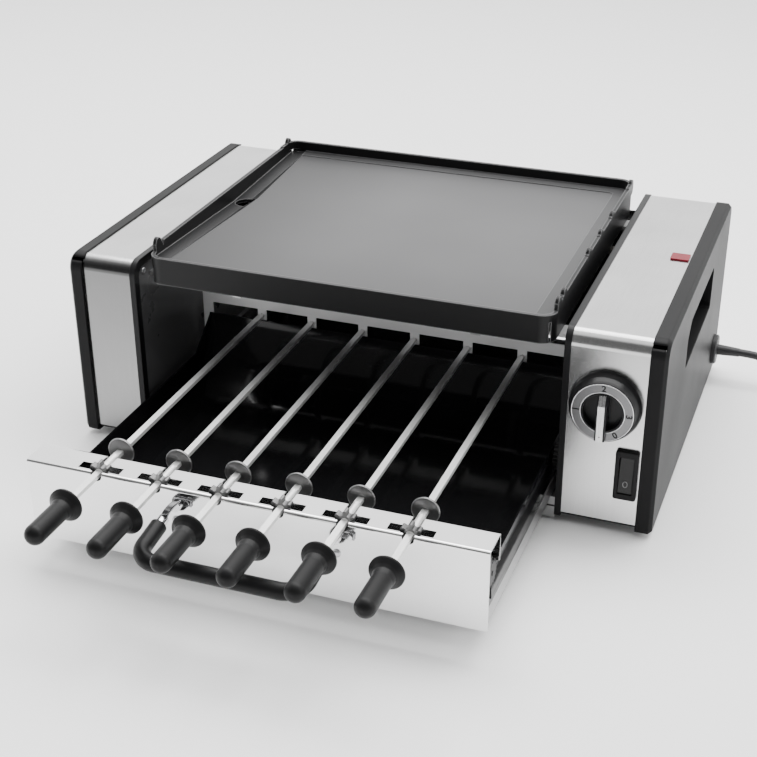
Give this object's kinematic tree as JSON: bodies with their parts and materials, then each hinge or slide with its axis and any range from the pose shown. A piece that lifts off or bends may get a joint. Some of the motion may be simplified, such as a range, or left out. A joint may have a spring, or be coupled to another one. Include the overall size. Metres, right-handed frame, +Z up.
{
  "type": "table-top skewer grill",
  "caption": "Electric table-top grill with a flat griddle pan on top and a pull-out drawer of geared skewers with black handles, between two brushed-steel side casings with a knob and a switch.",
  "frame": {"origin": "on the table, under the middle of the grill's box as it stands with its drawer pulled out, without the mains lead", "axes": "+X to the user's right, +Y from the user to the back of the grill, +Z up"},
  "size_m": [0.6737, 0.5743, 0.1836],
  "materials": {
    "end_cap": "fine-grained moulded black plastic",
    "trim": "moulded black plastic",
    "brushed_wrap": "steel sheet brushed from front to back",
    "inner_sheet": "dark enamelled sheet",
    "bright_sheet": "smooth stainless sheet",
    "mirror_sheet": "mirror-bright stainless sheet",
    "enamel": "glossy black enamel",
    "non_stick": "grey non-stick coating on cast aluminium",
    "plain_steel": "plain steel",
    "element_sheath": "oxidised tubular element sheath",
    "chrome": "chrome plate",
    "grip_plastic": "satin black heat-proof plastic",
    "dial_silver": "silver-grey satin face",
    "gear_plastic": "off-white gear plastic",
    "lens_red": "clear red plastic",
    "rubber": "black rubber",
    "cord_pvc": "satin black flexible lead",
    "motor_case": "zinc-plated motor case"
  },
  "bodies": {
    "grill_body": {"left_end_cap": "end_cap", "right_end_cap": "end_cap", "left_steel_wrap": "brushed_wrap", "right_steel_wrap": "brushed_wrap", "left_inner_trim": "trim", "right_inner_trim": "trim", "left_inner_wall": "inner_sheet", "right_inner_wall": "inner_sheet", "base_covers": "trim", "rubber_feet": "rubber", "floor_plate": "bright_sheet", "rear_panel": "bright_sheet", "heat_reflector": "enamel", "heating_element": "element_sheath", "cavity_brackets": "plain_steel", "gearmotor": "motor_case", "knob_bezel": "grip_plastic", "dial_ring": "dial_silver", "thermostat": "motor_case", "switch_housing": "grip_plastic", "lamp_lens": "lens_red", "strain_relief": "cord_pvc", "cord_lead": "cord_pvc", "cord_coil": "cord_pvc", "mains_plug": "cord_pvc"},
    "motor_gear": {"motor_gear": "gear_plastic"},
    "griddle": {"griddle_pan": "non_stick"},
    "knob": {"control_knob": "grip_plastic", "knob_pointer": "chrome"},
    "rocker": {"power_rocker": "grip_plastic"},
    "drawer": {"drawer_front": "mirror_sheet", "rear_comb": "bright_sheet", "side_plates": "bright_sheet", "drip_tray": "enamel", "handle_tube": "chrome", "handle_sleeve": "grip_plastic", "handle_straps": "chrome", "handle_screws": "chrome", "shaft_bearings": "plain_steel"},
    "drive_shaft": {"drive_shaft": "plain_steel", "drive_gears": "plain_steel"},
    "transfer_gear": {"transfer_gear": "gear_plastic"},
    "skewer_1": {"skewer_1_blade": "plain_steel", "skewer_1_star_and_disc": "plain_steel", "skewer_1_handle": "grip_plastic"},
    "skewer_2": {"skewer_2_blade": "plain_steel", "skewer_2_star_and_disc": "plain_steel", "skewer_2_handle": "grip_plastic"},
    "skewer_3": {"skewer_3_blade": "plain_steel", "skewer_3_star_and_disc": "plain_steel", "skewer_3_handle": "grip_plastic"},
    "skewer_4": {"skewer_4_blade": "plain_steel", "skewer_4_star_and_disc": "plain_steel", "skewer_4_handle": "grip_plastic"},
    "skewer_5": {"skewer_5_blade": "plain_steel", "skewer_5_star_and_disc": "plain_steel", "skewer_5_handle": "grip_plastic"},
    "skewer_6": {"skewer_6_blade": "plain_steel", "skewer_6_star_and_disc": "plain_steel", "skewer_6_handle": "grip_plastic"}
  },
  "joints": [
    {"name": "drawer_slide", "type": "slide", "parent": "grill_body", "child": "drawer", "axis": [0, 1, 0], "range_m": [0, 0.1773]},
    {"name": "griddle_lift", "type": "slide", "parent": "grill_body", "child": "griddle", "axis": [0, 0, 1], "range_m": [0, 0.12]},
    {"name": "knob_turn", "type": "hinge", "parent": "grill_body", "child": "knob", "pos_m": [0.2024, -0.0221, 0.11], "axis": [0, 1, 0], "range_deg": [0, 270]},
    {"name": "rocker_tilt", "type": "hinge", "parent": "grill_body", "child": "rocker", "pos_m": [0.2218, -0.0209, 0.0535], "axis": [1, 0, 0], "range_deg": [0, 16]},
    {"name": "motor_gear_spin", "type": "hinge", "parent": "grill_body", "child": "motor_gear", "pos_m": [0.1608, 0.00496, 0.04498], "axis": [1, 0, 0], "continuous": true},
    {"name": "drive_shaft_spin", "type": "hinge", "parent": "drawer", "child": "drive_shaft", "pos_m": [-0.00825, -0.1917, 0.0706], "axis": [1, 0, 0], "continuous": true},
    {"name": "transfer_gear_spin", "type": "hinge", "parent": "drawer", "child": "transfer_gear", "pos_m": [0.1608, -0.1857, 0.05834], "axis": [1, 0, 0], "continuous": true},
    {"name": "skewer_1_spin", "type": "hinge", "parent": "drawer", "child": "skewer_1", "pos_m": [-0.126, -0.1917, 0.0818], "axis": [0, 1, 0], "continuous": true},
    {"name": "skewer_2_spin", "type": "hinge", "parent": "drawer", "child": "skewer_2", "pos_m": [-0.0789, -0.1917, 0.0818], "axis": [0, 1, 0], "continuous": true},
    {"name": "skewer_3_spin", "type": "hinge", "parent": "drawer", "child": "skewer_3", "pos_m": [-0.0318, -0.1917, 0.0818], "axis": [0, 1, 0], "continuous": true},
    {"name": "skewer_4_spin", "type": "hinge", "parent": "drawer", "child": "skewer_4", "pos_m": [0.0153, -0.1917, 0.0818], "axis": [0, 1, 0], "continuous": true},
    {"name": "skewer_5_spin", "type": "hinge", "parent": "drawer", "child": "skewer_5", "pos_m": [0.0624, -0.1917, 0.0818], "axis": [0, 1, 0], "continuous": true},
    {"name": "skewer_6_spin", "type": "hinge", "parent": "drawer", "child": "skewer_6", "pos_m": [0.1095, -0.1917, 0.0818], "axis": [0, 1, 0], "continuous": true}
  ],
  "couplings": [
    {"joint": "transfer_gear_spin", "follows": "drive_shaft_spin", "ratio": -0.44444},
    {"joint": "skewer_1_spin", "follows": "drive_shaft_spin", "ratio": 0.16667},
    {"joint": "skewer_2_spin", "follows": "drive_shaft_spin", "ratio": 0.16667},
    {"joint": "skewer_3_spin", "follows": "drive_shaft_spin", "ratio": 0.16667},
    {"joint": "skewer_4_spin", "follows": "drive_shaft_spin", "ratio": 0.16667},
    {"joint": "skewer_5_spin", "follows": "drive_shaft_spin", "ratio": 0.16667},
    {"joint": "skewer_6_spin", "follows": "drive_shaft_spin", "ratio": 0.16667}
  ]
}
